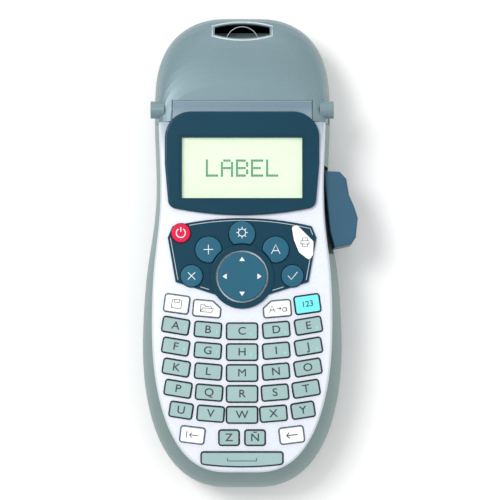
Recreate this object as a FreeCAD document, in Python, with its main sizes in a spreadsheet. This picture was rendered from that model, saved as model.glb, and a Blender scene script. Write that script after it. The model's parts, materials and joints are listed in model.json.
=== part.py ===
"""Handheld label maker, lying on its back: +X right, +Y to the head, +Z up out of the keys."""
import FreeCAD, Part
import math
import os
import re
import Sketcher

V = FreeCAD.Vector
doc = FreeCAD.newDocument("label_maker")

# ---------------------------------------------------------------- driving sizes, in mm
SIZES = {
    # casing
    "body_length": 200.0, "body_width": 85.0, "body_height": 36.0, "wall": 2.0,
    "back_round": 7.0, "widest_height": 16.0, "seam_height": 33.0,
    "rim_inset_head": 2.4, "rim_inset_tail": 7.4, "crown_inset": 5.0, "nose_drop": 24.0, "rim_wall": 1.2,
    "seam_gap": 0.3, "fit_gap": 0.1,
    # lid and its hinge
    "head_length": 41.0, "hinge_height": 32.8, "seam_radius": 4.6, "ear_radius": 6.0,
    "ear_inner": 29.5, "bracket_width": 2.3, "bracket_radius": 2.3, "hub_radius": 3.6, "hub_reach": 38.4,
    "pin_radius": 1.3,
    "nose_seam_height": 20.0, "window_width": 23.4, "window_length": 7.0, "window_edge": 3.4,
    # keys
    "key_top": 37.2, "key_foot": 32.0, "key_gap": 0.3, "key_round": 0.5, "corner_round": 1.1,
    "key_travel": 0.9,
    "letter_width": 11.2, "letter_depth": 6.4, "middle_width": 13.0, "middle_depth": 6.9,
    "row_pitch": 8.67, "first_row": -34.0, "column_reach": 27.6, "row_bend": 165.0,
    "last_row": -78.1, "last_row_pitch": 10.8, "last_row_width": 8.5,
    "dial_y": -11.2, "dial_radius": 10.2, "dial_gap": 0.7, "ring_width": 2.5, "dial_top": 38.0,
    "round_key_radius": 5.5, "small_key_radius": 4.6, "power_key_radius": 4.0,
    "space_width": 34.0, "space_depth": 5.9, "space_y": -86.9,
    # display
    "surround_top": 38.2, "surround_width": 64.6, "surround_length": 43.5, "surround_y": 36.1,
    "surround_corner": 11.0, "screen_width": 50.2, "screen_length": 25.3, "screen_y": 34.15,
    "control_top": 36.9,
    # inside
    "mat_thickness": 1.0, "board_thickness": 1.6, "board_top": 30.0, "deck_height": 10.0,
    "post_radius": 2.0, "screw_radius": 1.0, "screw_head_radius": 1.9,
    "cell_radius": 7.1, "cell_length": 50.0, "cell_pitch": 14.6, "tray_y": -47.75,
    "door_width": 60.0, "door_front": -20.0, "door_lip": 9.0,
    # print drive
    "platen_x": 22.0, "platen_ahead": 19.0, "platen_radius": 4.6, "gear_module": 0.6,
    "platen_teeth": 24.0, "pinion_teeth": 10.0, "gear_face": 2.2, "motor_radius": 7.6,
    "cassette_width": 40.0, "cassette_length": 24.0, "cassette_height": 15.0,
    # cutter
    "pivot_x": 32.0, "pivot_y": 48.0, "pivot_radius": 1.2, "paddle_floor": 12.0,
    "paddle_height": 19.0, "bay_wall_x": 29.0, "bay_wall": 1.3, "eye_radius": 2.5,
}
sheet = doc.addObject("Spreadsheet::Sheet", "sizes")
for row, (alias, value) in enumerate(SIZES.items(), start=1):
    sheet.set("A%d" % row, alias)
    sheet.set("B%d" % row, str(value))
    sheet.setAlias("B%d" % row, alias)
doc.recompute()


def size(alias):
    """The sheet's value, for shapes that are worked out in this file."""
    return float(sheet.get(alias))


def formula(text):
    """An expression whose words are cells of the sheet."""
    return re.sub(r"[a-z_]{3,}", lambda m: "sizes." + m.group() if m.group() in SIZES else m.group(), str(text))


def bind(thing, **values):
    for name, text in values.items():
        thing.setExpression(name.replace("__", "."), formula(text))
    return thing


# ---------------------------------------------------------------- small building blocks
def place(thing, x, y, z):
    return bind(thing, Placement__Base__x=x, Placement__Base__y=y, Placement__Base__z=z)


def box(name, x, y, z, across, along, up):
    """A box from its lowest corner and its three lengths."""
    return place(bind(doc.addObject("Part::Box", name), Length=across, Width=along, Height=up), x, y, z)


def rod(name, x, y, z, radius, length):
    """An upright cylinder that stands on z."""
    return place(bind(doc.addObject("Part::Cylinder", name), Radius=radius, Height=length), x, y, z)


def axle(name, x, y, z, radius, length):
    """A cylinder that runs along +X from x."""
    made = rod(name, x, y, z, radius, length)
    made.Placement.Rotation = FreeCAD.Rotation(V(0, 1, 0), 90)
    return made


def fuse(name, *pieces):
    made = doc.addObject("Part::MultiFuse", name)
    made.Shapes = list(pieces)
    return made


def common(name, *pieces):
    made = doc.addObject("Part::MultiCommon", name)
    made.Shapes = list(pieces)
    return made


def cut(name, base, *tools):
    made = doc.addObject("Part::Cut", name)
    made.Base = base
    made.Tool = tools[0] if len(tools) == 1 else fuse(name + "_tools", *tools)
    return made


def group(name, *pieces):
    """Several solids of one kind that share a node."""
    made = doc.addObject("Part::Compound", name)
    made.Links = list(pieces)
    return made


def origin_plane(body, role):
    return next(plane for plane in body.Origin.OriginFeatures if plane.Role == role)


def sketch_on(body, name, height=0):
    made = body.newObject("Sketcher::SketchObject", name)
    made.AttachmentSupport = (origin_plane(body, "XY_Plane"), [""])
    made.MapMode = "FlatFace"
    bind(made, AttachmentOffset__Base__z=height)
    return made


def number(text):
    """A formula's value now, to draw a sketch near its final shape."""
    return float(sheet.evalExpression(formula(text)))


def tie(sketch, kind, places, text):
    """A constraint that follows a formula."""
    index = sketch.addConstraint(Sketcher.Constraint(kind, *places, number(text)))
    sketch.setExpression("Constraints[%d]" % index, formula(text))


def outline(sketch, corners):
    """A closed anticlockwise outline. A third formula on a corner bulges the next side outward by that much."""
    spots = [V(number(corner[0]), number(corner[1]), 0) for corner in corners]
    count = len(corners)
    for i, corner in enumerate(corners):
        start = spots[i]
        end = spots[(i + 1) % count]
        if len(corner) == 2:
            sketch.addGeometry(Part.LineSegment(start, end))
            continue
        along = end - start
        middle = (start + end) * 0.5 + V(along.y, -along.x, 0).normalize() * number(corner[2])
        sketch.addGeometry(Part.Arc(start, middle, end))
    for i, corner in enumerate(corners):
        following = corners[(i + 1) % count]
        sketch.addConstraint(Sketcher.Constraint("Coincident", i, 2, (i + 1) % count, 1))
        tie(sketch, "DistanceX", (-1, 1, i, 1), corner[0])
        tie(sketch, "DistanceY", (-1, 1, i, 1), corner[1])
        if len(corner) == 3:
            chord = "((%s - (%s))^2 + (%s - (%s))^2)" % (following[0], corner[0], following[1], corner[1])
            tie(sketch, "Radius", (i,), "%s / (8 * %s) + %s / 2" % (chord, corner[2], corner[2]))
    return sketch


def rectangle(sketch, width, depth, x="0", y="0"):
    signs = ((-1, -1), (1, -1), (1, 1), (-1, 1))
    return outline(sketch, [("%s + %d * (%s) / 2" % (x, a, width), "%s + %d * (%s) / 2" % (y, b, depth))
                            for a, b in signs])


def circle(sketch, x, y, radius):
    item = sketch.addGeometry(Part.Circle(V(number(x), number(y), 0), V(0, 0, 1), number(radius)))
    tie(sketch, "DistanceX", (-1, 1, item, 3), x)
    tie(sketch, "DistanceY", (-1, 1, item, 3), y)
    tie(sketch, "Radius", (item,), radius)
    return sketch


def body_of(label):
    made = doc.addObject("PartDesign::Body", label)
    made.Label = label
    return made


def pad(body, sketch, length):
    made = body.newObject("PartDesign::Pad", sketch.Name + "_pad")
    made.Profile = sketch
    bind(made, Length=length)
    sketch.Visibility = False
    return made


def pocket(body, sketch, depth, upward=False):
    made = body.newObject("PartDesign::Pocket", sketch.Name + "_pocket")
    made.Profile = sketch
    made.Reversed = upward
    bind(made, Length=depth)
    return made


def round_edges(body, name, radius, chosen):
    """Fillets those edges of the body's last feature that the test picks."""
    doc.recompute()
    last = body.Tip
    edges = ["Edge%d" % i for i, edge in enumerate(last.Shape.Edges, start=1) if chosen(edge)]
    made = body.newObject("PartDesign::Fillet", name)
    made.Base = (last, edges)
    bind(made, Radius=radius)
    return made


def upright(edge):
    box_of = edge.BoundBox
    return box_of.ZLength > 0.5 and box_of.XLength < 1e-3 and box_of.YLength < 1e-3


def at_height(z):
    return lambda edge: abs(edge.BoundBox.ZMin - z) < 1e-3 and abs(edge.BoundBox.ZMax - z) < 1e-3


# ---------------------------------------------------------------- the casing's outer form
# One side of the plan outline, tail to nose, as shares of half the width and half the length.
OUTLINE = ((0.35, -0.99), (0.585, -0.94), (0.78, -0.84), (0.925, -0.68), (0.993, -0.48), (0.993, -0.3),
           (0.944, -0.05), (0.878, 0.14), (0.864, 0.32), (0.882, 0.52), (0.881, 0.66), (0.835, 0.795),
           (0.668, 0.92), (0.345, 0.993))
LEVELS = (0, 0.15, 0.6, 1.4, 2.6, 4.4, 7, 11, 16, 20, 23, 26, 28.5, 30.5, 32, 33, 34, 34.8, 35.4, 35.8, 36)
half_length = size("body_length") / 2
half_width = size("body_width") / 2


def rim_inset(y):
    """How far the front panel's rim stands inside the plan outline: more toward the tail."""
    tail_share = min(max((20 - y) / (20 + half_length), 0), 1)
    return size("rim_inset_head") + (size("rim_inset_tail") - size("rim_inset_head")) * tail_share


def side_inset(z, y):
    """How far the side stands inside the plan outline at height z."""
    low = size("back_round")
    if z < low:
        return low - math.sqrt(low ** 2 - (low - z) ** 2)
    widest = size("widest_height")
    seam = size("seam_height")
    inset = rim_inset(y) * (max(z - widest, 0) / (seam - widest)) ** 1.8
    if z > seam:
        rise = min((z - seam) / (size("body_height") - seam), 1)
        inset = rim_inset(y) + size("crown_inset") * (1 - math.sqrt(1 - rise ** 2))
    return inset


def nose_end(z):
    """Where the nose ends at height z, as it slopes down from the crown."""
    rise = max(z - size("widest_height"), 0) / (size("body_height") - size("widest_height"))
    return half_length - size("nose_drop") * rise ** 4


def plan_side(inset_at, end=half_length):
    """The right side of the plan outline, moved inward by inset_at(y), its nose pulled back to end."""
    shoulder = 0.4 * half_length
    side = [V(0, -half_length, 0)] + [V(half_width * a, half_length * b, 0) for a, b in OUTLINE]
    side.append(V(0, half_length, 0))
    for p in side:
        if p.y > shoulder:
            p.y = shoulder + (p.y - shoulder) * (end - shoulder) / (half_length - shoulder)
    before = [V(-side[1].x, side[1].y, 0)] + side[:-1]
    after = side[1:] + [V(-side[-2].x, side[-2].y, 0)]
    moved = []
    for p, last, following in zip(side, before, after):
        along = (following - last).normalize()
        moved.append(p + V(-along.y, along.x, 0) * inset_at(p.y))
    return moved


def plan_wire(z, inset_at, end=half_length, wall=0):
    """The closed plan outline at height z, shrunk about its middle by the wall."""
    side = [V(p.x * (1 - wall / half_width), p.y * (1 - wall / half_length), z) for p in plan_side(inset_at, end)]
    ring = side + [V(-p.x, p.y, z) for p in reversed(side[1:-1])]
    waist = len(side) // 2 + 1
    curve = Part.BSplineCurve()
    curve.interpolate(Points=ring[waist:] + ring[:waist], PeriodicFlag=True)
    return Part.Wire(curve.toShape())


def form(name, shape):
    made = doc.addObject("Part::Feature", name)
    made.Shape = shape
    return made


def body_shape(wall=0):
    """The loft through the plan outlines, shrunk about its middle so that a wall is left all round."""
    height = size("body_height")
    wires = []
    for level in LEVELS:
        z = level * height / LEVELS[-1]
        inner_z = wall + z * (1 - 2 * wall / height)
        wires.append(plan_wire(inner_z, lambda y: side_inset(z, y), nose_end(z), wall))
    return Part.makeLoft(wires, True, True)


def panel_shape(bottom, top, extra):
    """A slab with the front panel's outline, moved inward by extra."""
    face = Part.Face(plan_wire(bottom, lambda y: rim_inset(y) + extra))
    return face.extrude(V(0, 0, top - bottom))


outer_form = form("outer_form", body_shape())
inner_form = form("inner_form", body_shape(size("wall")))
middle_form = form("middle_form", body_shape(size("wall") / 2))
skin = cut("skin", outer_form, inner_form)

# ---------------------------------------------------------------- where the casing parts meet
hinge_y = "(body_length / 2 - head_length)"


def hinge_rod(name, radius, x, length):
    return axle(name, x, hinge_y, "hinge_height", radius, length)


def both_sides(name, radius, x, length):
    """The same rod about the hinge line at the right and the left."""
    return fuse(name, hinge_rod(name + "_right", radius, x, length),
                hinge_rod(name + "_left", radius, "-(%s) - (%s)" % (x, length), length))


def nose_wedge(name, lift):
    """Everything above the line that runs from the hinge down to the nose, raised by lift."""
    start = size("body_length") / 2 - size("head_length")
    low = size("hinge_height") + lift
    far = half_length + size("body_height")
    slope = (size("hinge_height") - size("nose_seam_height")) / size("head_length")
    top = 2 * size("body_height")
    side = [V(-2 * half_width, start, low), V(-2 * half_width, far, low - slope * (far - start)),
            V(-2 * half_width, far, top), V(-2 * half_width, start, top)]
    return form(name, Part.Face(Part.makePolygon(side + side[:1])).extrude(V(4 * half_width, 0, 0)))


ear_space = both_sides("ear_space", "ear_radius + seam_gap", "ear_inner - seam_gap", "body_width / 2")
lid_space = fuse("lid_space", nose_wedge("lid_wedge", 0), ear_space)
above_seam = box("above_seam", "-body_width", "-body_length", "seam_height", "2 * body_width",
                 "body_length + " + hinge_y, "body_height")
seam_rod = hinge_rod("seam_rod", "seam_radius", "-body_width", "2 * body_width")
lid_seam_rod = hinge_rod("lid_seam_rod", "seam_radius + seam_gap", "-body_width", "2 * body_width")

# ---------------------------------------------------------------- rear shell
door_zone = box("door_zone", "-door_width / 2 - seam_gap", "-body_length", "-1",
                "door_width + 2 * seam_gap", "body_length + door_front + seam_gap", "door_lip + 1 + seam_gap")
door_floor_zone = box("door_floor_zone", "-door_width / 2 - seam_gap", "-body_length", "-1",
                      "door_width + 2 * seam_gap", "body_length + door_front + seam_gap", "wall + 1 + 3 * seam_gap")
lever_mouth = box("lever_mouth", "bay_wall_x + bay_wall", "-1.4", "paddle_floor - 1", "body_width", "37",
                  "body_height")
label_slot = box("label_slot", "bay_wall_x + bay_wall", "pivot_y + 5.5", "deck_height + 3", "body_width / 2",
                 "7", "14")
rim_clearance = form("rim_clearance", panel_shape(size("board_top") - size("board_thickness") - size("seam_gap"),
                                                  size("seam_height") + 1, size("rim_wall")))
rear_skin = cut("rear_skin", skin, above_seam, lid_space, door_zone, lever_mouth, label_slot, rim_clearance)

tray_half = "(2 * cell_pitch + 0.6)"
tray_length = "(cell_length + 5)"
tray_outside = box("tray_outside", "-%s - bay_wall" % tray_half, "tray_y - %s / 2 - bay_wall" % tray_length,
                   "wall / 2", "2 * %s + 2 * bay_wall" % tray_half, tray_length + " + 2 * bay_wall",
                   "2 * cell_radius + wall + 2.6")
tray_inside = box("tray_inside", "-" + tray_half, "tray_y - %s / 2" % tray_length, "-1",
                  "2 * " + tray_half, tray_length, "2 * cell_radius + wall + 2.1")
tray = cut("tray", tray_outside, tray_inside, door_floor_zone)
deck = box("deck", "-34", hinge_y + " - 2", "deck_height", "68", "38", "wall")
bay_height = "(paddle_floor + paddle_height - 0.1 - wall / 2)"
bay_side = box("bay_side", "bay_wall_x - bay_wall", "-3", "wall / 2", "bay_wall", "53", bay_height)
bay_floor = box("bay_floor", "bay_wall_x - bay_wall", "-3", "paddle_floor - 2.2", "body_width / 3", "57",
                "bay_wall")
bay_end = box("bay_end", "bay_wall_x - bay_wall", "-3", "wall / 2", "body_width / 3", "1.3", bay_height)
bracket_x = "(ear_inner - seam_gap - bracket_width)"
brackets = []
for name, x in (("bracket_right", bracket_x), ("bracket_left", "-%s - bracket_width" % bracket_x)):
    brackets.append(box(name, x, hinge_y + " - 2.4", "deck_height", "bracket_width", "4.8",
                        "hinge_height - deck_height"))
fitting_walls = fuse("fitting_walls", tray, deck, bay_side, bay_floor, bay_end, *brackets)
inside_parts = common("inside_parts", middle_form, fitting_walls)
bracket_eyes = both_sides("bracket_eyes", "bracket_radius", bracket_x, "bracket_width")
hinge_pins = both_sides("hinge_pins", "pin_radius", bracket_x, "bracket_width + 5")
pivot_post = rod("pivot_post", "pivot_x", "pivot_y", "paddle_floor - 1.5", "pivot_radius", "paddle_height - 4")

POSTS = (("34.6", "-24"), ("-34.6", "-24"), ("24.5", "54"), ("-24.5", "54"))
lower_posts = []
upper_posts = []
screw_paths = []
screws = []
for i, (x, y) in enumerate(POSTS):
    lower_posts.append(rod("lower_post_%d" % i, x, y, "wall / 2", "post_radius + 1",
                           "board_top - board_thickness - wall / 2"))
    upper_posts.append(rod("upper_post_%d" % i, x, y, "board_top", "post_radius",
                           "body_height - board_top - wall / 2"))
    head_path = rod("head_path_%d" % i, x, y, "-1", "screw_head_radius + fit_gap", "5")
    shank_path = rod("shank_path_%d" % i, x, y, "-1", "screw_radius + fit_gap", "body_height - 1")
    screw_paths.append(fuse("screw_path_%d" % i, head_path, shank_path))
    head = rod("screw_head_%d" % i, x, y, "2.6", "screw_head_radius", "1.4")
    shank = rod("screw_shank_%d" % i, x, y, "3", "screw_radius", "body_height - 5.5")
    driver = bind(doc.addObject("Part::Prism", "screw_socket_%d" % i), Circumradius="1.1", Height="0.9")
    place(driver, x, y, "2.5")
    screws.append(cut("case_screw_%d" % i, fuse("screw_blank_%d" % i, head, shank), driver))
all_paths = fuse("all_screw_paths", *screw_paths)
case_screws = group("case_screws", *screws)

platen_y = "(%s + platen_ahead)" % hinge_y
shaft_hole = rod("platen_hole", "platen_x", platen_y, "deck_height - 1", "2.1", "wall + 2")
rear_blank = fuse("rear_blank", rear_skin, inside_parts, pivot_post, bracket_eyes, hinge_pins, *lower_posts)
rear_shell = cut("rear_shell", rear_blank, all_paths, shaft_hole)

# ---------------------------------------------------------------- battery door
door_box = box("door_box", "-door_width / 2", "-body_length", "-1", "door_width",
               "body_length + door_front", "door_lip + 1")
battery_door = common("battery_door", skin, door_box)

# ---------------------------------------------------------------- tape lid
lid_wedge_raised = nose_wedge("lid_wedge_raised", size("seam_gap"))
behind_hinge = box("behind_hinge", "-body_width", "-body_length", "0", "2 * body_width",
                   "body_length + " + hinge_y, "2 * body_height")
lid_skin = cut("lid_skin", common("lid_top", skin, lid_wedge_raised), behind_hinge, lid_seam_rod)
ears = common("ears", outer_form, both_sides("ear_discs", "ear_radius", "ear_inner", "body_width / 2"))
hubs = both_sides("hubs", "hub_radius", "ear_inner + 3", "hub_reach - ear_inner - 3")
pin_bores = both_sides("pin_bores", "pin_radius + fit_gap", "ear_inner - 1", "6")
window_middle = "(body_length / 2 - window_edge - window_length / 2)"
window_body = body_of("window_cutter")
window_sketch = sketch_on(window_body, "window_outline", "nose_seam_height")
outline(window_sketch, [("window_width / 2", window_middle + " - window_length / 4"),
                        ("window_width / 2", window_middle + " + window_length / 4", "window_length / 4"),
                        ("-window_width / 2", window_middle + " + window_length / 4"),
                        ("-window_width / 2", window_middle + " - window_length / 4", "window_length / 4")])
pad(window_body, window_sketch, "body_height")
tape_lid = cut("tape_lid", fuse("lid_blank", lid_skin, ears, hubs), pin_bores, window_body)

# ---------------------------------------------------------------- keys
keys = []


def key_body(label, corners, x, y, turn="0", foot="key_foot", top="key_top"):
    """A key with a polygon outline, rounded at its corners and its top edge, turned and set on x, y."""
    body = body_of(label)
    pad(body, outline(sketch_on(body, label + "_outline"), corners), "%s - %s" % (top, foot))
    round_edges(body, label + "_corners", "corner_round", upright)
    round_edges(body, label + "_edge", "key_round", at_height(number("%s - %s" % (top, foot))))
    place(body, x, y, foot)
    body.Placement.Rotation = FreeCAD.Rotation(V(0, 0, 1), number(turn))
    bind(body, Placement__Rotation__Angle=turn)
    keys.append(body)
    return body


def corners_of(width, depth):
    return [("%d * (%s) / 2" % (a, width), "%d * (%s) / 2" % (b, depth))
            for a, b in ((-1, -1), (1, -1), (1, 1), (-1, 1))]


def round_key(label, x, y, radius, notch=False, top="control_top + 1"):
    """A round key; a notched one is cut back around the dial's ring."""
    height = "%s - key_foot" % top
    body = body_of(label)
    pad(body, circle(sketch_on(body, label + "_outline"), "0", "0", radius), height)
    if notch:
        away = circle(sketch_on(body, label + "_notch"), "-(%s)" % x, "dial_y - (%s)" % y,
                      "dial_radius + dial_gap + ring_width + key_gap")
        pocket(body, away, height, upward=True)
    round_edges(body, label + "_edge", "key_round", at_height(number(height)))
    place(body, x, y, "key_foot")
    keys.append(body)
    return body


LETTER_ROWS = ("abcde", "fghij", "klmno", "pqrst", "uvwxy")
for r, letters in enumerate(LETTER_ROWS):
    taper = 0.255 * max(r - 1, 0) ** 2
    for c, letter in enumerate(letters):
        across = (c - 2) / 2
        reach = "(column_reach - %g)" % taper
        column = "%g * %s" % (across if abs(across) == 1 else across * 1.03, reach)
        lift = "(%s)^2 / (2 * row_bend)" % column
        width = "middle_width" if c == 2 else "letter_width"
        depth = "middle_depth" if c == 2 else "letter_depth"
        if letter in "uy":
            width = "letter_width - 1.6"
        key_body("key_" + letter, corners_of(width, depth), column,
                 "first_row - %d * row_pitch + %s" % (r, lift), "asin(%s / row_bend)" % column)
for label, side in (("key_z", -1), ("key_n_tilde", 1)):
    key_body(label, corners_of("last_row_width", "letter_depth"), "%g * last_row_pitch" % (side / 2), "last_row")
key_body("key_space", [("-space_width / 2", "-space_depth / 2 + 1"),
                       ("-space_width / 2 + 1.5", "-space_depth / 2 + 0.6", "0.9"),
                       ("space_width / 2 - 1.5", "-space_depth / 2 + 0.6"),
                       ("space_width / 2", "-space_depth / 2 + 1"),
                       ("space_width / 2", "space_depth / 2"), ("-space_width / 2", "space_depth / 2")],
         "0", "space_y")

FUNCTION_KEYS = (("key_save", -27.2, -22.6, 10.3, 7.4, -8), ("key_num_lock", 27.2, -22.7, 10.6, 7.6, 8),
                 ("key_clear", -20.6, -77.0, 10.1, 6.7, -7), ("key_backspace", 20.6, -77.0, 10.1, 6.7, 7))
for label, x, y, width, depth, turn in FUNCTION_KEYS:
    key_body(label, corners_of(width, depth), str(x), str(y), str(turn))
for label, side in (("key_open", -1), ("key_caps", 1)):
    shape = [(-5.75, -3.4), (5.75, -3.4), (5.75, 3.4), (-2.2, 3.4), (-5.75, 0.6)]
    if side < 0:
        shape = [(-x, y) for x, y in reversed(shape)]
    key_body(label, [(str(x), str(y)) for x, y in shape], "%g" % (14.6 * side), "-24.6", "%g" % (5 * side))

round_key("key_on_off", "-25.5", "6.9", "power_key_radius")
round_key("key_settings", "0", "6.5", "round_key_radius", notch=True)
round_key("key_insert", "-14", "0", "round_key_radius", notch=True)
round_key("key_format", "14", "0", "round_key_radius", notch=True)
round_key("key_cancel", "-21", "-11", "small_key_radius")
round_key("key_ok", "21", "-11", "small_key_radius")
LEAF = ((-1.3, -4.2), (3.0, -7.5), (4.6, -5.2), (4.8, 0.4), (-1.9, 7.1), (-4.4, 6.6), (-3.4, 0.9))
key_body("key_print", [(str(x), str(y)) for x, y in LEAF], "25", "3", top="control_top + 1")

dial = body_of("key_dial")
pad(dial, circle(sketch_on(dial, "dial_stem"), "0", "0", "dial_radius / 2"), "body_height + 0.9 - key_foot")
pad(dial, circle(sketch_on(dial, "dial_disc", "body_height + 0.9 - key_foot"), "0", "0", "dial_radius"),
    "dial_top - body_height - 0.9")
round_edges(dial, "dial_edge", "key_round", at_height(number("dial_top - key_foot")))
place(dial, "0", "dial_y", "key_foot")
keys.append(dial)
doc.recompute()


def key_hole(key):
    """The key's own outline, widened by its running gap, from the pressed key's foot upward."""
    foot = min(key.Shape.Faces, key=lambda face: face.CenterOfMass.z)
    widened = foot.makeOffset2D(size("key_gap"), 0, False, False, False)
    hole = Part.Face(widened.OuterWire).extrude(V(0, 0, size("body_height")))
    hole.translate(V(0, 0, -size("key_travel") - size("fit_gap")))
    return hole


key_holes = form("key_holes", Part.makeCompound([key_hole(key) for key in keys]))

# ---------------------------------------------------------------- front shell and fascia
EDGE_STEPS = ((0, 0), (1.6, 0.1), (2.4, 0.45), (2.8, 0.9), (3, 1.5))
edge_wires = [plan_wire(size("seam_height") + up, lambda y, extra=extra: rim_inset(y) + extra)
              for up, extra in EDGE_STEPS]
panel = form("panel", Part.makeLoft(edge_wires, True, True))
panel_hollow = form("panel_hollow", panel_shape(size("seam_height") - 1, size("body_height") - size("wall"),
                                                size("wall")))
beyond_hinge = cut("beyond_hinge", box("beyond_hinge_box", "-body_width", hinge_y, "0", "2 * body_width",
                                       "body_length", "2 * body_height"), seam_rod)
screen_hole = box("screen_hole", "-screen_width / 2 - 2.1", "screen_y - screen_length / 2 - 2.6", "0",
                  "screen_width + 4.2", "screen_length + 5.2", "body_height + 1")
front_blank = fuse("front_blank", cut("panel_skin", panel, panel_hollow), *upper_posts)
bracket_space = both_sides("bracket_space", "bracket_radius + seam_gap", bracket_x + " - seam_gap",
                           "bracket_width + 2 * seam_gap")
front_shell = cut("front_shell", front_blank, beyond_hinge, ear_space, bracket_space, screen_hole, all_paths,
                  key_holes)

surround = body_of("surround")
surround_half = "(surround_length / 2)"
surround_sketch = sketch_on(surround, "surround_outline")
outline(surround_sketch, [("surround_width / 2 - 1.6", "-%s + 3.4" % surround_half),
                          ("surround_width / 2", "0"),
                          ("surround_width / 2", surround_half),
                          ("-surround_width / 2", surround_half),
                          ("-surround_width / 2", "0"),
                          ("-surround_width / 2 + 1.6", "-%s + 3.4" % surround_half, "3.4")])
pad(surround, surround_sketch, "surround_top - body_height")
round_edges(surround, "surround_corners", "surround_corner",
            lambda edge: upright(edge) and edge.CenterOfMass.y > number(surround_half) - 1)
round_edges(surround, "surround_feet", "surround_corner / 3",
            lambda edge: upright(edge) and edge.CenterOfMass.y < -10)
round_edges(surround, "surround_edge", "0.8", at_height(number("surround_top - body_height")))
place(surround, "0", "surround_y", "body_height")

control = body_of("control_plate")
control_sketch = sketch_on(control, "control_outline")
outline(control_sketch, [("-27.7", "-13.5"), ("-11.3", "-18.7"), ("11.3", "-18.7"), ("27.7", "-13.5"),
                         ("31", "5"), ("29", "9.8", "3.4"), ("-29", "9.8"), ("-31", "5")])
pad(control, control_sketch, "control_top - body_height")
place(control, "0", "0", "body_height")
ring = body_of("dial_ring")
pad(ring, circle(sketch_on(ring, "ring_outline"), "0", "0", "dial_radius + dial_gap + ring_width"),
    "control_top + 0.6 - body_height")
round_edges(ring, "ring_edge", "0.4", at_height(number("control_top + 0.6 - body_height")))
place(ring, "0", "dial_y", "body_height")
ring_hole = rod("ring_hole", "0", "dial_y", "body_height - 1", "dial_radius + dial_gap", "4")
screen_window = box("screen_window", "-screen_width / 2", "screen_y - screen_length / 2", "body_height - 1",
                    "screen_width", "screen_length", "5")
screen_bevel = box("screen_bevel", "-screen_width / 2 - 1", "screen_y - screen_length / 2 - 1",
                   "surround_top - 0.4", "screen_width + 2", "screen_length + 2", "2")
fascia_moulding = cut("fascia_moulding", fuse("fascia_blank", surround, control, ring), ring_hole, key_holes,
                      screen_window, screen_bevel)
display_window = box("display_window", "-screen_width / 2 + fit_gap", "screen_y - screen_length / 2 + fit_gap",
                     "body_height + 0.2", "screen_width - 2 * fit_gap", "screen_length - 2 * fit_gap", "1.2")
fascia = group("fascia", fascia_moulding, display_window)

# ---------------------------------------------------------------- boards under the keys
def post_holes(body, name, height, radius, which):
    made = sketch_on(body, name, height)
    for x, y in which:
        circle(made, x, y, radius)
    return made


board_half = "(bay_wall_x - bay_wall - seam_gap)"
main_board = body_of("main_board")
pad(main_board, outline(sketch_on(main_board, "board_outline"),
                        [("-20", "-84"), ("20", "-84"), ("31", "-68"), ("35.6", "-46"), ("35.6", "-20"),
                         ("34.4", "-8"), (board_half, "-4"), (board_half, "56"), ("-" + board_half, "56"),
                         ("-" + board_half, "-4"), ("-34.4", "-8"), ("-35.6", "-20"), ("-35.6", "-46"),
                         ("-31", "-68")]), "board_thickness")
chips = sketch_on(main_board, "chip_outline")
rectangle(chips, "12", "12", "-8", "30")
chips_pad = pad(main_board, chips, "1.5")
chips_pad.Reversed = True
pocket(main_board, post_holes(main_board, "board_holes", "0", "screw_radius + 0.2", POSTS), "board_thickness",
       upward=True)
place(main_board, "0", "0", "board_top - board_thickness")

keypad_mat = body_of("keypad_mat")
pad(keypad_mat, outline(sketch_on(keypad_mat, "mat_outline"),
                        [("-15.2", "-89.5"), ("15.2", "-89.5"), ("21", "-84"), ("31", "-68"), ("35.4", "-46"),
                         ("35.4", "-20"), ("34", "-8"), (board_half, "-4"), (board_half, "13"),
                         ("-" + board_half, "13"), ("-" + board_half, "-4"), ("-34", "-8"), ("-35.4", "-20"),
                         ("-35.4", "-46"), ("-31", "-68"), ("-21", "-84")]), "mat_thickness")
pocket(keypad_mat, post_holes(keypad_mat, "mat_holes", "0", "post_radius + 0.3", POSTS[:2]), "mat_thickness",
       upward=True)
place(keypad_mat, "0", "0", "board_top")

lcd_module = body_of("lcd_module")
pad(lcd_module, rectangle(sketch_on(lcd_module, "lcd_outline"), "screen_width + 3.6", "screen_length + 4.6"),
    "body_height - board_top - 0.3")
place(lcd_module, "0", "screen_y", "board_top")

# ---------------------------------------------------------------- power
cells = []
contacts = []
cell_height = "(wall + cell_radius + 0.3)"
for i in range(4):
    x = "%g * cell_pitch" % (i - 1.5)
    facing = 1 if i % 2 else -1
    turn = FreeCAD.Rotation(V(1, 0, 0), -90 * facing)
    start = "tray_y - %d * cell_length / 2" % facing
    can = rod("cell_can_%d" % i, x, start, cell_height, "cell_radius", "cell_length - 1.2")
    nub = rod("cell_nub_%d" % i, x, start, cell_height, "cell_radius * 0.38", "cell_length")
    spring = bind(doc.addObject("Part::Cone", "spring_%d" % i), Radius1="cell_radius * 0.7",
                  Radius2="cell_radius * 0.35", Height="1.7")
    place(spring, x, "tray_y - %d * (cell_length / 2 + 2)" % facing, cell_height)
    for item in (can, nub, spring):
        item.Placement.Rotation = turn
    cells.append(fuse("cell_%d" % i, can, nub))
    spring_plate = box("spring_plate_%d" % i, x + " - 4", "tray_y - %d * (cell_length / 2 + 2.25) - 0.25" % facing,
                       "5", "8", "0.5", "8")
    nub_plate = box("nub_plate_%d" % i, x + " - 4", "tray_y + %d * (cell_length / 2 + 1.4) - 1.1" % facing,
                    "5", "8", "2.2", "8")
    contacts += [fuse("spring_contact_%d" % i, spring, spring_plate), nub_plate]
batteries = group("batteries", *cells)
battery_contacts = group("battery_contacts", *contacts)

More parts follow.
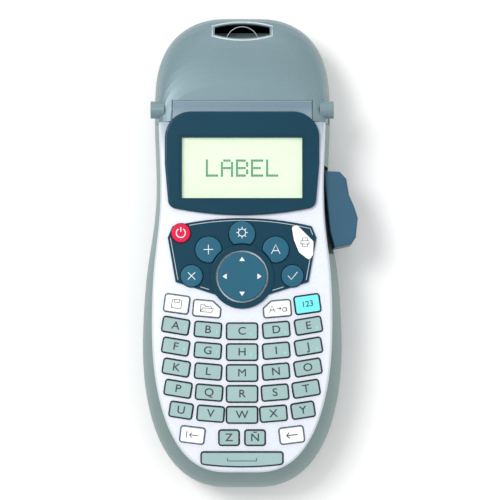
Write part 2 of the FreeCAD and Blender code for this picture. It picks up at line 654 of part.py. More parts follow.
# ---------------------------------------------------------------- print drive
def gear_shape(teeth, face, bore):
    """A spur gear of straight-sided teeth, a little thinner than the gaps they run in."""
    module = size("gear_module")
    pitch = module * teeth / 2
    quarter = math.pi / teeth / 2 * 0.86
    steps = ((pitch - 1.2 * module, 1.5), (pitch, 1.0), (pitch + 0.9 * module, 0.5))
    points = []
    for tooth in range(int(teeth)):
        middle = 2 * math.pi * tooth / teeth
        for radius, share in steps:
            points.append(V(radius * math.cos(middle - quarter * share), radius * math.sin(middle - quarter * share)))
        for radius, share in reversed(steps):
            points.append(V(radius * math.cos(middle + quarter * share), radius * math.sin(middle + quarter * share)))
    solid = Part.Face(Part.makePolygon(points + points[:1])).extrude(V(0, 0, face))
    return solid.cut(Part.makeCylinder(bore, face)) if bore else solid


gear_floor = "(deck_height - gear_face - 0.8)"
gear_reach = "(gear_module * (platen_teeth + pinion_teeth) / 2 + fit_gap)"
platen_gear = form("platen_gear", gear_shape(size("platen_teeth"), size("gear_face"), 0))
place(platen_gear, "platen_x", platen_y, gear_floor)
platen_shaft = rod("platen_shaft", "platen_x", platen_y, "wall + seam_gap", "1.9", "24")
platen_sleeve = rod("platen_sleeve", "platen_x", platen_y, "deck_height + wall + seam_gap", "platen_radius", "13.4")
platen_roller = fuse("platen_roller", platen_gear, platen_shaft, platen_sleeve)
motor_pinion = form("motor_pinion", gear_shape(size("pinion_teeth"), size("gear_face"), 0.85))
place(motor_pinion, "platen_x - " + gear_reach, platen_y, gear_floor)
motor_pinion.Placement.Rotation = FreeCAD.Rotation(V(0, 0, 1), 180 / size("pinion_teeth"))
motor_can = rod("motor_can", "platen_x - " + gear_reach, platen_y, "wall", "motor_radius",
                gear_floor + " - wall - 0.5")
motor_shaft = rod("motor_shaft", "platen_x - " + gear_reach, platen_y, "wall", "0.8", "deck_height - wall - 0.6")
drive_motor = fuse("drive_motor", motor_can, motor_shaft)
deck_top = "(deck_height + wall)"
print_head = box("print_head", "platen_x + platen_radius + 0.2", platen_y + " - 6", deck_top, "1.8", "12", "13")

tape_cassette = body_of("tape_cassette")
cassette_sketch = sketch_on(tape_cassette, "cassette_outline")
pad(tape_cassette, rectangle(cassette_sketch, "cassette_width", "cassette_length"), "cassette_height")
round_edges(tape_cassette, "cassette_nose", "cassette_length / 3",
            lambda edge: upright(edge) and edge.CenterOfMass.y > 0)
round_edges(tape_cassette, "cassette_edge", "0.8", at_height(number("cassette_height")))
spools = sketch_on(tape_cassette, "spool_wells", "cassette_height")
circle(spools, "-cassette_width / 5", "1", "4.5")
circle(spools, "cassette_width / 4", "-3", "3")
pocket(tape_cassette, spools, "cassette_height * 0.7")
place(tape_cassette, "-4", hinge_y + " + 6.2 + cassette_length / 2", deck_top)

# ---------------------------------------------------------------- cutter
cutter_lever = body_of("cutter_lever")
PADDLE = ((38.9, 1.1), (46.0, 2.6), (47.8, 5.5), (48.7, 13.6), (47.0, 18.9), (45.0, 23.4), (43.9, 30.2),
          (41.1, 33.2), (34.6, 33.6), (34.6, 30), (36.9, 8.1))
pad(cutter_lever, outline(sketch_on(cutter_lever, "paddle_outline"),
                          [(str(x), str(y)) for x, y in PADDLE]), "paddle_height")
pad(cutter_lever, outline(sketch_on(cutter_lever, "arm_outline", "2"),
                          [("36", "27"), ("37", "33"), ("34.3", "35.5"), ("pivot_x + 1.2", "pivot_y - 1"),
                           ("pivot_x - 0.6", "pivot_y + 4"), ("pivot_x - 0.6", "pivot_y + 12"),
                           ("pivot_x - 2.0", "pivot_y + 12"),
                           ("pivot_x - 2.0", "pivot_y - 1"), ("pivot_x - 1.2", "36"), ("35", "30")]), "8")
pad(cutter_lever, circle(sketch_on(cutter_lever, "eye_outline", "-0.7"), "pivot_x", "pivot_y", "eye_radius"), "13")
bore = circle(sketch_on(cutter_lever, "eye_bore", "-1"), "pivot_x", "pivot_y", "pivot_radius + fit_gap")
pocket(cutter_lever, bore, "20", upward=True)
round_edges(cutter_lever, "paddle_edge", "0.9", at_height(number("paddle_height")))
place(cutter_lever, "0", "0", "paddle_floor")
cutter_blade = box("cutter_blade", "pivot_x - 0.6", "pivot_y + 7", "deck_height + 3.4", "0.5", "5.4", "12")

# ---------------------------------------------------------------- checks and export
doc.recompute()
for item in doc.Objects:
    if "Invalid" in item.State or "Error" in item.State:
        raise RuntimeError("not built: " + item.Name)
NODES = [rear_shell, front_shell, tape_lid, fascia, lcd_module, main_board, keypad_mat, battery_door,
         batteries, battery_contacts, drive_motor, motor_pinion, platen_roller, print_head, cutter_lever,
         cutter_blade, tape_cassette, case_screws] + keys
os.makedirs("parts", exist_ok=True)
for node in NODES:
    if node.Shape.isNull() or not node.Shape.isValid():
        raise RuntimeError("bad shape: " + node.Label)
    node.Shape.exportStep("parts/%s.step" % node.Label)
print(len(NODES), "nodes written")
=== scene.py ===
"""Looks of the hand-held label maker: materials, legends, display, camera and light."""
import json
import math
import bmesh
import bpy
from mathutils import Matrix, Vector
from mathutils.bvhtree import BVHTree


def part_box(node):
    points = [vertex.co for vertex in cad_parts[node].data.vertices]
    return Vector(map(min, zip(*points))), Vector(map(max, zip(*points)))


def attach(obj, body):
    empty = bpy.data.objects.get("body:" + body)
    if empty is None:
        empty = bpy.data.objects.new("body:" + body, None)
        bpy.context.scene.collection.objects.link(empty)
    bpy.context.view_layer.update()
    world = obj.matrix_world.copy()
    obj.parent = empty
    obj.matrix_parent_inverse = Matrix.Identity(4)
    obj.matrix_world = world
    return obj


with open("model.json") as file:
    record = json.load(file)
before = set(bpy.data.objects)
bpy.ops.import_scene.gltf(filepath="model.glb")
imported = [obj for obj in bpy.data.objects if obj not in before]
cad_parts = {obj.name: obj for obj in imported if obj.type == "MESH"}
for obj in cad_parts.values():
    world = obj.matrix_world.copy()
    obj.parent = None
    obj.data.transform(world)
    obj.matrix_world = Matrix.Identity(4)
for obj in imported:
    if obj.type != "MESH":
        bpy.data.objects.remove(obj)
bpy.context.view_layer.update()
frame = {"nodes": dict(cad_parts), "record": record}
MM = 0.001
HAIR = 0.03 * MM             # how far print stands off the surface it is on
FINE = 0.3 * MM              # widths of printed lines
MEDIUM = 0.34 * MM
BOLD = 0.45 * MM
ROW_BEND = 165 * MM          # radius the rows of letter keys are bent to
CONTROL_TOP = 36.9 * MM      # height of the control plate's face
HINGE_Y = 59 * MM
HUB_RADIUS = 4 * MM
HUB_START = 38.2 * MM        # distance from the middle at which the hinge hubs stand clear
RIM_HEIGHT = 33 * MM         # height of the seam under the front panel's rim


def node_object(name):
    return frame["nodes"][name]


def middle(name):
    low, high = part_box(name)
    return (Vector(low) + Vector(high)) / 2


def top_of(name):
    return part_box(name)[1][2]


def body_of(name):
    bodies = frame["record"]["behaviour"]["bodies"]
    return next(body for body, nodes in bodies.items() if name in nodes)


# ---------------------------------------------------------------- materials
def new_material(name):
    material = bpy.data.materials.new(name)
    material.use_nodes = True
    tree = material.node_tree
    return material, tree, tree.nodes["Principled BSDF"]


def noise(tree, scale, detail=4.0):
    coords = tree.nodes.new("ShaderNodeTexCoord")
    made = tree.nodes.new("ShaderNodeTexNoise")
    made.inputs["Scale"].default_value = scale
    made.inputs["Detail"].default_value = detail
    made.inputs["Roughness"].default_value = 0.6
    tree.links.new(coords.outputs["Object"], made.inputs["Vector"])
    return made


def ramp(tree, source, low, high, start=0.3, end=0.7):
    made = tree.nodes.new("ShaderNodeValToRGB")
    made.color_ramp.elements[0].position = start
    made.color_ramp.elements[0].color = low
    made.color_ramp.elements[1].position = end
    made.color_ramp.elements[1].color = high
    tree.links.new(source, made.inputs["Fac"])
    return made


def spread(tree, source, low, high):
    """Turns a 0 to 1 pattern into a number between low and high."""
    made = tree.nodes.new("ShaderNodeMapRange")
    made.inputs["To Min"].default_value = low
    made.inputs["To Max"].default_value = high
    tree.links.new(source, made.inputs["Value"])
    return made.outputs["Result"]


def multiplied(tree, first, second):
    made = tree.nodes.new("ShaderNodeMix")
    made.data_type = "RGBA"
    made.blend_type = "MULTIPLY"
    made.inputs["Factor"].default_value = 1.0
    tree.links.new(first, made.inputs["A"])
    tree.links.new(second, made.inputs["B"])
    return made


def bump(tree, shader, source, strength, distance):
    made = tree.nodes.new("ShaderNodeBump")
    made.inputs["Strength"].default_value = strength
    made.inputs["Distance"].default_value = distance
    tree.links.new(source, made.inputs["Height"])
    tree.links.new(made.outputs["Normal"], shader.inputs["Normal"])


def shade(colour, factor):
    return tuple(min(c * factor, 1.0) for c in colour[:3]) + (1.0,)


def plastic(name, colour, roughness, grain, grain_depth, coat=0.0, metallic=0.0,
            variation=0.05, painted_glow=0.0, shine=0.5):
    """Moulded plastic: spark-eroded grain, slight tone variation and uneven gloss."""
    material, tree, shader = new_material(name)
    tone = noise(tree, 35.0)
    colours = ramp(tree, tone.outputs["Fac"], shade(colour, 1 - variation),
                   shade(colour, 1 + variation))
    tree.links.new(colours.outputs["Color"], shader.inputs["Base Color"])
    gloss = noise(tree, 160.0)
    tree.links.new(spread(tree, gloss.outputs["Fac"], roughness * 0.85, roughness * 1.2),
                   shader.inputs["Roughness"])
    texture = noise(tree, grain, detail=2.0)
    bump(tree, shader, texture.outputs["Fac"], 0.25, grain_depth)
    shader.inputs["Coat Weight"].default_value = coat
    shader.inputs["Coat Roughness"].default_value = 0.08
    shader.inputs["Metallic"].default_value = metallic
    # Painted glow: an optional emission in the surface's own colour, for parts that have no lamp.
    tree.links.new(colours.outputs["Color"], shader.inputs["Emission Color"])
    shader.inputs["Emission Strength"].default_value = painted_glow
    shader.inputs["Specular IOR Level"].default_value = shine
    return material


def painted_shade_to_head(tree, source, painted_shade_tone):
    """Painted shade: lets a colour darken off to another tone beside the display, where the lid
    begins, in place of the dimmer reflection where the panel tilts there.
    """
    coords = tree.nodes.new("ShaderNodeTexCoord")
    axes = tree.nodes.new("ShaderNodeSeparateXYZ")
    tree.links.new(coords.outputs["Object"], axes.inputs["Vector"])
    along = tree.nodes.new("ShaderNodeMapRange")
    along.inputs["From Min"].default_value = 38 * MM
    along.inputs["From Max"].default_value = 60 * MM
    tree.links.new(axes.outputs["Y"], along.inputs["Value"])
    tone = ramp(tree, along.outputs["Result"], (1, 1, 1, 1), shade(painted_shade_tone, 1.15), 0.0, 1.0)
    return multiplied(tree, source, tone.outputs["Color"])


def metallic_paint(name, colour, painted_shade_tone=None):
    """Silver paint: fine flakes that differ in tone under a thin coat."""
    material, tree, shader = new_material(name)
    flakes = noise(tree, 5200.0, detail=1.0)
    patches = noise(tree, 24.0)
    fine = ramp(tree, flakes.outputs["Fac"], shade(colour, 0.88), shade(colour, 1.12), 0.35, 0.65)
    broad = ramp(tree, patches.outputs["Fac"], (0.95, 0.95, 0.95, 1), (1, 1, 1, 1))
    mix = multiplied(tree, fine.outputs["Color"], broad.outputs["Color"])
    # Painted shade: given a second tone, the paint darkens toward the head beside the display, in
    # place of the dimmer reflection of the tilted panel there.
    if painted_shade_tone:
        mix = painted_shade_to_head(tree, mix.outputs["Result"], painted_shade_tone)
    tree.links.new(mix.outputs["Result"], shader.inputs["Base Color"])
    tree.links.new(spread(tree, flakes.outputs["Fac"], 0.3, 0.48), shader.inputs["Roughness"])
    bump(tree, shader, flakes.outputs["Fac"], 0.12, 0.00003)
    shader.inputs["Metallic"].default_value = 0.2
    shader.inputs["Coat Weight"].default_value = 0.1
    shader.inputs["Coat Roughness"].default_value = 0.25
    return material


def brushed(name, colour, roughness=0.3):
    """Bare metal with fine uneven polish."""
    material, tree, shader = new_material(name)
    lines = noise(tree, 900.0)
    colours = ramp(tree, lines.outputs["Fac"], shade(colour, 0.85), shade(colour, 1.1))
    tree.links.new(colours.outputs["Color"], shader.inputs["Base Color"])
    tree.links.new(spread(tree, lines.outputs["Fac"], roughness * 0.7, roughness * 1.4),
                   shader.inputs["Roughness"])
    shader.inputs["Metallic"].default_value = 1.0
    return material


def clear(name):
    """A clear moulded window, with the faintest haze and tint."""
    material, tree, shader = new_material(name)
    haze = noise(tree, 60.0)
    tree.links.new(spread(tree, haze.outputs["Fac"], 0.01, 0.05), shader.inputs["Roughness"])
    shader.inputs["Base Color"].default_value = (0.93, 0.98, 0.95, 1)
    shader.inputs["Transmission Weight"].default_value = 1.0
    shader.inputs["IOR"].default_value = 1.25
    return material


GREY_GREEN = (0.15, 0.228, 0.228)
SILVER = (0.76, 0.80, 0.885)
LID_GREY = (0.165, 0.25, 0.278)
DARK_TEAL = (0.003, 0.043, 0.075)
KEY_TEAL = (0.012, 0.108, 0.175)
LOOKS = {
    "rear_green": metallic_paint("rear_paint", GREY_GREEN),
    # The silver paint carries painted shade toward the head, in the lid's tone.
    "silver": metallic_paint("silver_paint", SILVER, painted_shade_tone=LID_GREY),
    "lid_grey": metallic_paint("lid_paint", LID_GREY),
    "fascia_dark": plastic("fascia_gloss", DARK_TEAL, 0.22, 90.0, 0.00001, shine=0.22),
    "key_grey": plastic("key_face_grey", (0.31, 0.46, 0.46), 0.5, 900.0, 0.00006),
    "key_white": plastic("key_white", (0.95, 0.96, 0.97), 0.42, 900.0, 0.00005),
    "key_teal": plastic("key_teal", KEY_TEAL, 0.4, 700.0, 0.00005, shine=0.25),
    "key_cyan": plastic("key_cyan", (0.16, 0.84, 0.90), 0.4, 900.0, 0.00005),
    "key_red": plastic("key_red", (0.66, 0.004, 0.055), 0.35, 700.0, 0.00005, shine=0.25),
    "lever_blue": plastic("lever_blue", (0.030, 0.100, 0.165), 0.38, 500.0, 0.00006, shine=0.3),
    # The display glass is given a painted glow, though the display has no backlight.
    "lcd": plastic("lcd_glass", (0.84, 0.93, 0.72), 0.5, 1400.0, 0.00001, variation=0.015,
                   painted_glow=0.3),
    "board": plastic("solder_mask", (0.02, 0.16, 0.07), 0.35, 300.0, 0.00004, coat=0.4),
    "mat": plastic("mat_rubber", (0.06, 0.075, 0.085), 0.7, 1200.0, 0.00008),
    "cell": plastic("cell_sleeve", (0.52, 0.20, 0.05), 0.28, 200.0, 0.00002, coat=0.5,
                    metallic=0.6),
    "spring_steel": brushed("spring_steel", (0.62, 0.62, 0.6)),
    "motor_steel": brushed("motor_steel", (0.5, 0.5, 0.52), 0.38),
    "gear_white": plastic("gear_white", (0.78, 0.77, 0.7), 0.45, 600.0, 0.00004),
    "roller": plastic("roller_rubber", (0.02, 0.02, 0.022), 0.75, 1500.0, 0.0001),
    "head_ceramic": brushed("head_ceramic", (0.55, 0.53, 0.48), 0.45),
    "blade": brushed("blade_steel", (0.72, 0.72, 0.74), 0.18),
    "cassette": plastic("cassette_navy", (0.012, 0.014, 0.05), 0.4, 500.0, 0.00005),
    "screw": brushed("screw_zinc", (0.45, 0.45, 0.43), 0.35),
}
INNER_DARK = plastic("inner_dark", (0.008, 0.01, 0.03), 0.5, 500.0, 0.00006)
KEY_RIM = plastic("key_rim_dark", (0.012, 0.028, 0.036), 0.5, 800.0, 0.00005)
WHITE_RIM = plastic("key_rim_grey", (0.22, 0.27, 0.3), 0.5, 800.0, 0.00005)
INK_DARK = plastic("ink_dark", (0.02, 0.035, 0.045), 0.55, 1200.0, 0.00002)
INK_WHITE = plastic("ink_white", (0.88, 0.9, 0.92), 0.5, 1200.0, 0.00002)
INK_CYAN = plastic("ink_cyan", (0.25, 0.72, 0.8), 0.5, 1200.0, 0.00002)
# Pale line colour: the reel flange's edge, and the painted highlight along the control plate's edge.
PALE_EDGE_AND_SHEEN = plastic("pale_edge_and_sheen", (0.55, 0.62, 0.66), 0.4, 900.0, 0.00002)
LCD_INK = plastic("lcd_segment", (0.15, 0.36, 0.27), 0.4, 1500.0, 0.00001)
REEL_TAN = plastic("reel_tan", (0.42, 0.36, 0.18), 0.5, 600.0, 0.00005)
HUB_GREY = plastic("hub_grey", (0.07, 0.11, 0.11), 0.45, 500.0, 0.00005)
# Silver for the real bezel round the lid's window, and for painted sheen on the panel's rim.
SILVER_BEZEL_AND_SHEEN = metallic_paint("window_bezel_and_rim_sheen", (0.62, 0.68, 0.72))
WINDOW = clear("window_clear")


# ---------------------------------------------------------------- CAD parts: finish and shading
def paint(name, material):
    """Gives a node its material, smooth except at its real edges."""
    mesh = node_object(name).data
    mesh.materials.clear()
    mesh.materials.append(material)
    mesh.polygons.foreach_set("use_smooth", [True] * len(mesh.polygons))
    mesh.set_sharp_from_angle(angle=math.radians(32))


def repaint(name, material, chosen):
    """Gives the faces of a node that the test picks a further material."""
    mesh = node_object(name).data
    mesh.materials.append(material)
    for polygon in mesh.polygons:
        if chosen(polygon):
            polygon.material_index = len(mesh.materials) - 1


def surface_of(name):
    mesh = node_object(name).data
    return BVHTree.FromPolygons([v.co for v in mesh.vertices],
                                [p.vertices[:] for p in mesh.polygons])


def looks_inside(name):
    """A test for the faces of a shell that look at another part of the same shell."""
    tree = surface_of(name)

    def test(polygon):
        start = Vector(polygon.center) + Vector(polygon.normal) * 0.05 * MM
        return tree.ray_cast(start, polygon.normal, 0.2)[0] is not None
    return test


def on_the_side(polygon):
    return polygon.normal.z < 0.98


slot_of = {entry["node"]: entry["material_slot"] for entry in frame["record"]["subparts"]}
RIMS = {"key_grey": KEY_RIM, "key_white": WHITE_RIM, "key_cyan": KEY_RIM}
for node, slot in slot_of.items():
    paint(node, LOOKS[slot])
    if node in ("rear_shell", "tape_lid", "battery_door"):
        repaint(node, INNER_DARK, looks_inside(node))
    elif slot in RIMS and node != "key_print":
        repaint(node, RIMS[slot], on_the_side)

lcd_top = top_of("lcd_module")
screen = middle("lcd_module")


# ---------------------------------------------------------------- pieces
def add_piece(name, data, material, body, spot=(0, 0, 0), turn=0, wide=1.0):
    """Places a made shape as a named piece that rides a body."""
    item = bpy.data.objects.new(name, data)
    item.location = spot
    item.rotation_euler = (0, 0, turn)
    item.scale = (wide, 1, 1)
    bpy.context.collection.objects.link(item)
    data.materials.append(material)
    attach(item, body)


def flat_piece(name, outlines, material, body, thickness=0.06 * MM):
    """Thin closed plates from outlines of corners in metres, each with the height it lies at."""
    mesh = bpy.data.meshes.new(name)
    made = bmesh.new()
    for corners in outlines:
        face = made.faces.new([made.verts.new(corner) for corner in corners])
        face.normal_update()
        if face.normal.z < 0:
            face.normal_flip()
        raised = bmesh.ops.extrude_face_region(made, geom=[face])
        moved = [v for v in raised["geom"] if isinstance(v, bmesh.types.BMVert)]
        bmesh.ops.translate(made, verts=moved, vec=(0, 0, thickness))
    bmesh.ops.recalc_face_normals(made, faces=made.faces)
    made.to_mesh(mesh)
    made.free()
    add_piece(name, mesh, material, body)


def line_piece(name, runs, width, material, body, closed=False):
    """Printed or moulded lines, and lines of painted highlight: round beads that follow runs of
    points in metres.
    """
    curve = bpy.data.curves.new(name, "CURVE")
    curve.dimensions = "3D"
    curve.bevel_depth = width / 2
    curve.bevel_resolution = 2
    for run in runs:
        spline = curve.splines.new("POLY")
        spline.points.add(len(run) - 1)
        for point, spot in zip(spline.points, run):
            point.co = (*spot, 1)
        spline.use_cyclic_u = closed
    add_piece(name, curve, material, body)


def letter(name, text, spot, height, turn, material, body, wide=1.0):
    """Raised printed characters, centred on a spot. A thickened M would cut into itself."""
    curve = bpy.data.curves.new(name, "FONT")
    curve.body = text
    curve.size = height * 1.42
    curve.align_x = "CENTER"
    curve.align_y = "CENTER"
    curve.extrude = 0.03 * MM
    curve.offset = 0 if text == "M" else 0.03 * MM
    add_piece(name, curve, material, body, spot, turn, wide)


def ring_run(radius, start=0, end=360, count=24, x=0.0, y=0.0):
    """Points of an arc round (x, y), its angles in degrees."""
    angles = [math.radians(start + (end - start) * i / count) for i in range(count + 1)]
    return [(x + radius * math.cos(a), y + radius * math.sin(a)) for a in angles]


# ---------------------------------------------------------------- legends
def print_letters():
    """Capital letters on the letter keys, and small digits at the right of the first ten."""
    for node in [n for n in slot_of if slot_of[n] == "key_grey" and n != "key_space"]:
        body = body_of(node)
        spot = middle(node)
        spot.z = top_of(node) + HAIR
        last_row = node in ("key_z", "key_n_tilde")
        turn = 0 if last_row else math.asin(spot.x / ROW_BEND)
        text = "Ñ" if node == "key_n_tilde" else node[-1].upper()
        letter(node + "_legend", text, spot, 3.2 * MM, turn, INK_DARK, body, 1.1)
        index = "abcdefghij".find(node[4:])
        if index >= 0:
            aside = spot + Vector((3.6 * MM, -1.0 * MM, 0))
            digit = "1234567890"[index]
            letter(node + "_digit", digit, aside, 1.3 * MM, turn, INK_CYAN, body)


SPOKES = [[(1.6 * math.cos(a), 1.6 * math.sin(a)), (2.4 * math.cos(a), 2.4 * math.sin(a))]
          for a in [math.pi * i / 4 for i in range(8)]]
PRINTER = [[(-2, -0.8), (-2, 0.8), (2, 0.8), (2, -0.8), (-2, -0.8)],
           [(-1.2, 0.8), (-1.2, 2.2), (1.2, 2.2), (1.2, 0.8)],
           [(-1.2, -0.8), (-1.2, -2.0), (1.2, -2.0), (1.2, -0.8)]]
# each key's symbol: its turn in degrees, ink, width of line, and runs of points in millimetres
SYMBOLS = {
    "key_on_off": (0, INK_WHITE, BOLD, [ring_run(1.9, 120, 420), [(0, 0.5), (0, 2.4)]]),
    "key_settings": (0, INK_WHITE, MEDIUM, [ring_run(1.5)] + SPOKES),
    "key_insert": (0, INK_WHITE, MEDIUM, [[(-2, 0), (2, 0)], [(0, -2), (0, 2)]]),
    "key_format": (0, INK_WHITE, MEDIUM, [[(-1.8, -1.8), (0, 2), (1.8, -1.8)],
                                          [(-1.1, -0.5), (1.1, -0.5)]]),
    "key_cancel": (0, INK_WHITE, MEDIUM, [[(-1.5, -1.5), (1.5, 1.5)],
                                          [(-1.5, 1.5), (1.5, -1.5)]]),
    "key_ok": (0, INK_WHITE, MEDIUM, [[(-1.9, 0.1), (-0.5, -1.5), (2.0, 1.6)]]),
    "key_print": (0, INK_DARK, FINE, [[(0.9 + 0.85 * x, 0.85 * y) for x, y in run]
                                      for run in PRINTER]),
    "key_save": (-8, INK_DARK, FINE, [
        [(-2, -1.8), (-2, 1.8), (1.4, 1.8), (2, 1.2), (2, -1.8), (-2, -1.8)],
        [(-1, 1.8), (-1, 0.6), (0.9, 0.6), (0.9, 1.8)]]),
    "key_open": (-5, INK_DARK, FINE, [
        [(-2.6, -1.4), (-2.6, 1.5), (-1, 1.5), (-0.4, 0.9), (2, 0.9), (2, 0.2)],
        [(-2.6, -1.4), (-1.6, 0.2), (2.9, 0.2), (2, -1.4), (-2.6, -1.4)]]),
    "key_caps": (5, INK_DARK, FINE, [
        [(-3.4, -1.4), (-2.2, 1.5), (-1, -1.4)], [(-2.9, -0.4), (-1.5, -0.4)],
        [(-0.3, 0), (1.5, 0)], [(0.9, 0.6), (1.5, 0), (0.9, -0.6)],
        ring_run(0.8, x=2.9, y=-0.6), [(3.7, 0.3), (3.7, -1.4)]]),
    "key_clear": (-7, INK_DARK, MEDIUM, [
        [(-2.4, -1.3), (-2.4, 1.3)], [(2.4, 0), (-1.2, 0)], [(-0.2, 1), (-1.2, 0), (-0.2, -1)]]),
    "key_backspace": (7, INK_DARK, BOLD, [
        [(2.4, 0), (-2.2, 0)], [(-0.9, 1.2), (-2.2, 0), (-0.9, -1.2)]]),
    "key_space": (0, INK_DARK, MEDIUM, [[(-6, 0.6), (-6, -0.6), (6, -0.6), (6, 0.6)]]),
}


def print_symbols():
    """Line symbols on the function and control keys, and the number key's digits."""
    for node, (turn, ink, width, runs) in SYMBOLS.items():
        spot = middle(node)
        c, s = math.cos(math.radians(turn)), math.sin(math.radians(turn))
        z = top_of(node) + HAIR
        placed = [[(spot.x + (x * c - y * s) * MM, spot.y + (x * s + y * c) * MM, z)
                   for x, y in run] for run in runs]
        line_piece(node + "_symbol", placed, width, ink, body_of(node))
    spot = middle("key_num_lock")
    spot.z = top_of("key_num_lock") + HAIR
    letter("number_legend", "123", spot, 2.4 * MM, math.radians(8), INK_DARK,
           body_of("key_num_lock"))


def dial_arrows():
    """Four arrow heads on the dial, pointing outward."""
    centre = middle("key_dial")
    z = top_of("key_dial") + HAIR
    tip, base, half_width = 8.1 * MM, 6.4 * MM, 1.15 * MM
    heads = []
    for quarter in range(4):
        a = math.pi / 2 * quarter
        out, across = Vector((math.cos(a), math.sin(a))), Vector((-math.sin(a), math.cos(a)))
        corners = (out * tip, out * base + across * half_width, out * base - across * half_width)
        heads.append([(centre.x + p.x, centre.y + p.y, z) for p in corners])
    flat_piece("dial_arrows", heads, INK_WHITE, body_of("key_dial"))


# ---------------------------------------------------------------- display
GLYPHS = {
    "L": ("1", "1", "1", "1", "1", "1", "11111"),
    "A": ("0111", "10001", "10001", "11111", "10001", "10001", "10001"),
    "B": ("1111", "10001", "10001", "1111", "10001", "10001", "1111"),
    "E": ("11111", "1", "1", "1111", "1", "1", "11111"),
}


def display_word(word="LABEL", dot=1.05 * MM):
    """The word as square dots with a fine gap, on the display glass."""
    z = lcd_top + HAIR
    advance = 6 * dot
    side = dot * 0.94
    left = screen.x - (len(word) * advance - dot) / 2
    dots = []
    for place, glyph in enumerate(word):
        for row, line in enumerate(GLYPHS[glyph]):
            for column, mark in enumerate(line):
                if mark != "1":
                    continue
                x = left + place * advance + column * dot
                y = screen.y + (3.5 - row) * dot
                dots.append([(x, y, z), (x + side, y, z), (x + side, y - side, z),
                             (x, y - side, z)])
    flat_piece("display_word", dots, LCD_INK, body_of("lcd_module"), 0.02 * MM)


def in_display_window(polygon):
    """The clear window is the fascia's own second solid, over the display glass."""
    x, y, z = polygon.center
    low = lcd_top + 0.3 * MM
    inside = abs(x - screen.x) < 25.05 * MM and abs(y - screen.y) < 12.6 * MM
    return inside and low < z < low + 1.9 * MM


def control_edge_sheen():
    """A painted highlight: a fine pale line just inside the control plate's edge, where the edge
    catches the light, broken beside the keys there.
    """
    right = [(12.6, -17.0), (26.7, -12.6), (29.9, 4.9), (28.4, 8.8)]
    top = [(x, 12.2 - 3.4 * (x / 28.4) ** 2) for x in [28.4 - 2.84 * i for i in range(1, 20)]]
    left = [(-x, y) for x, y in reversed(right)]
    corners = [Vector((x * MM, y * MM, CONTROL_TOP + HAIR)) for x, y in right + top + left]
    keys = [(middle(node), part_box(node)[1][0] - middle(node).x)
            for node in ("key_on_off", "key_ok", "key_cancel", "key_print")]
    runs = [[]]
    for start, end in zip(corners, corners[1:]):
        for i in range(12):
            spot = start.lerp(end, i / 12)
            if all((spot - key).xy.length > radius + 0.7 * MM for key, radius in keys):
                runs[-1].append(spot)
            elif runs[-1]:
                runs.append([])
    line_piece("control_edge_sheen", [run for run in runs if len(run) > 2], FINE, PALE_EDGE_AND_SHEEN,
               "case")


# ---------------------------------------------------------------- lid window, and painted sheen on the panel rim
def lid_trim():
    """A bright rim round the lid's window, laid on the lid's own surface."""
    tree = surface_of("tape_lid")
    centre_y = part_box("tape_lid")[1][1] - 6.7 * MM
    half_width, half_length, sag = 12.3, 2.1, 1.75
    outline = []
    for side in (1, -1):
        outline += [(side * half_width, -side * half_length), (side * half_width, side * half_length)]
        outline += [(side * x, side * (half_length + sag * (1 - (x / half_width) ** 2)))
                    for x in (9, 6, 3, 0, -3, -6, -9)]
    run = []
    for x, y in outline:
        above = Vector((x * 1.03 * MM, centre_y + y * 1.12 * MM, 0.06))
        hit = tree.ray_cast(above, Vector((0, 0, -1)), 0.06)[0]
        if hit is not None:
            run.append((hit.x, hit.y, hit.z - 0.15 * MM))
    line_piece("window_rim", [run], 0.7 * MM, SILVER_BEZEL_AND_SHEEN, "lid", closed=True)


def spool():
    """The tape reel seen through the lid's window: the edge of its flange and a tan core."""
    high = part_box("tape_cassette")[1]
    z = high[2] + 0.5 * MM
    centre_y = high[1] - 1.0 * MM
    flange = [(x, y, z) for x, y in ring_run(7.0 * MM, 20, 160, 20, y=centre_y)]
    core = [(x, y, z) for x, y in ring_run(0.7 * MM, 0, 340, 20, y=centre_y)]
    line_piece("reel_flange", [flange], 0.25 * MM, PALE_EDGE_AND_SHEEN, "case")
    line_piece("reel_core", [core], 1.0 * MM, REEL_TAN, "case")


# Painted sheen: the sloping faces high on the front panel's rim are picked to keep a lighter silver
# where the flanks catch the light.
def on_sheen_painted_rim(polygon):
    return 0.15 < polygon.normal.z < 0.9 and polygon.center.z > RIM_HEIGHT


def on_hub(polygon):
    return abs(polygon.center.x) > HUB_START and abs(polygon.center.y - HINGE_Y) < HUB_RADIUS


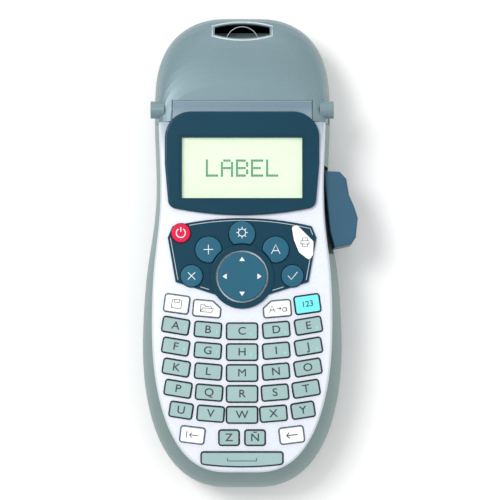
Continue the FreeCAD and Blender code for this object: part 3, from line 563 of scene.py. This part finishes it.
# ---------------------------------------------------------------- floor, light and camera
def floor():
    """A wide sheet of white paper under the object."""
    mesh = bpy.data.meshes.new("floor")
    made = bmesh.new()
    bmesh.ops.create_grid(made, x_segments=1, y_segments=1, size=6)
    made.to_mesh(mesh)
    made.free()
    item = bpy.data.objects.new("floor", mesh)
    bpy.context.collection.objects.link(item)
    material, tree, shader = new_material("paper_white")
    tone = noise(tree, 3.0)
    colours = ramp(tree, tone.outputs["Fac"], (0.93, 0.93, 0.93, 1), (0.96, 0.96, 0.96, 1))
    tree.links.new(colours.outputs["Color"], shader.inputs["Base Color"])
    shader.inputs["Roughness"].default_value = 0.9
    mesh.materials.append(material)


def area_light(name, spot, energy, size):
    light = bpy.data.lights.new(name, "AREA")
    light.energy = energy
    light.size = size
    item = bpy.data.objects.new(name, light)
    item.location = spot
    item.rotation_euler = (-Vector(spot)).to_track_quat("-Z", "Y").to_euler()
    bpy.context.collection.objects.link(item)


def lights():
    """A soft light from the upper left, weaker ones from the right and the head, white all round."""
    area_light("key_light", (-0.38, 0.25, 0.85), 4.2, 0.3)
    area_light("fill_light", (0.7, -0.3, 0.8), 0.9, 0.8)
    area_light("head_light", (0.0, 0.9, 0.5), 0.8, 0.4)
    world = bpy.data.worlds.new("studio")
    world.use_nodes = True
    world.node_tree.nodes["Background"].inputs["Color"].default_value = (1, 1, 1, 1)
    world.node_tree.nodes["Background"].inputs["Strength"].default_value = 0.78
    bpy.context.scene.world = world
    bpy.context.scene.view_settings.view_transform = "Standard"


def camera():
    """A long lens almost square to the keypad, a little toward the tail."""
    lens = bpy.data.cameras.new("camera")
    lens.lens = 135
    item = bpy.data.objects.new("camera", lens)
    bpy.context.collection.objects.link(item)
    aim = Vector((3.3 * MM, 0.2 * MM, 30 * MM))
    width_seen = 0.2102
    distance = width_seen * lens.lens / lens.sensor_width
    tilt = math.radians(87)
    item.location = aim + Vector((0, -math.cos(tilt), math.sin(tilt))) * distance
    item.rotation_euler = (math.pi / 2 - tilt, 0, 0)
    bpy.context.scene.camera = item


print_letters()
print_symbols()
dial_arrows()
display_word()
repaint("fascia", WINDOW, in_display_window)
control_edge_sheen()
lid_trim()
spool()
# Painted sheen on the panel's sloping rim faces, in a separate silver that stays light where the
# panel darkens toward the head.
repaint("front_shell", SILVER_BEZEL_AND_SHEEN, on_sheen_painted_rim)
repaint("tape_lid", HUB_GREY, on_hub)
floor()
lights()
camera()

bpy.context.view_layer.update()
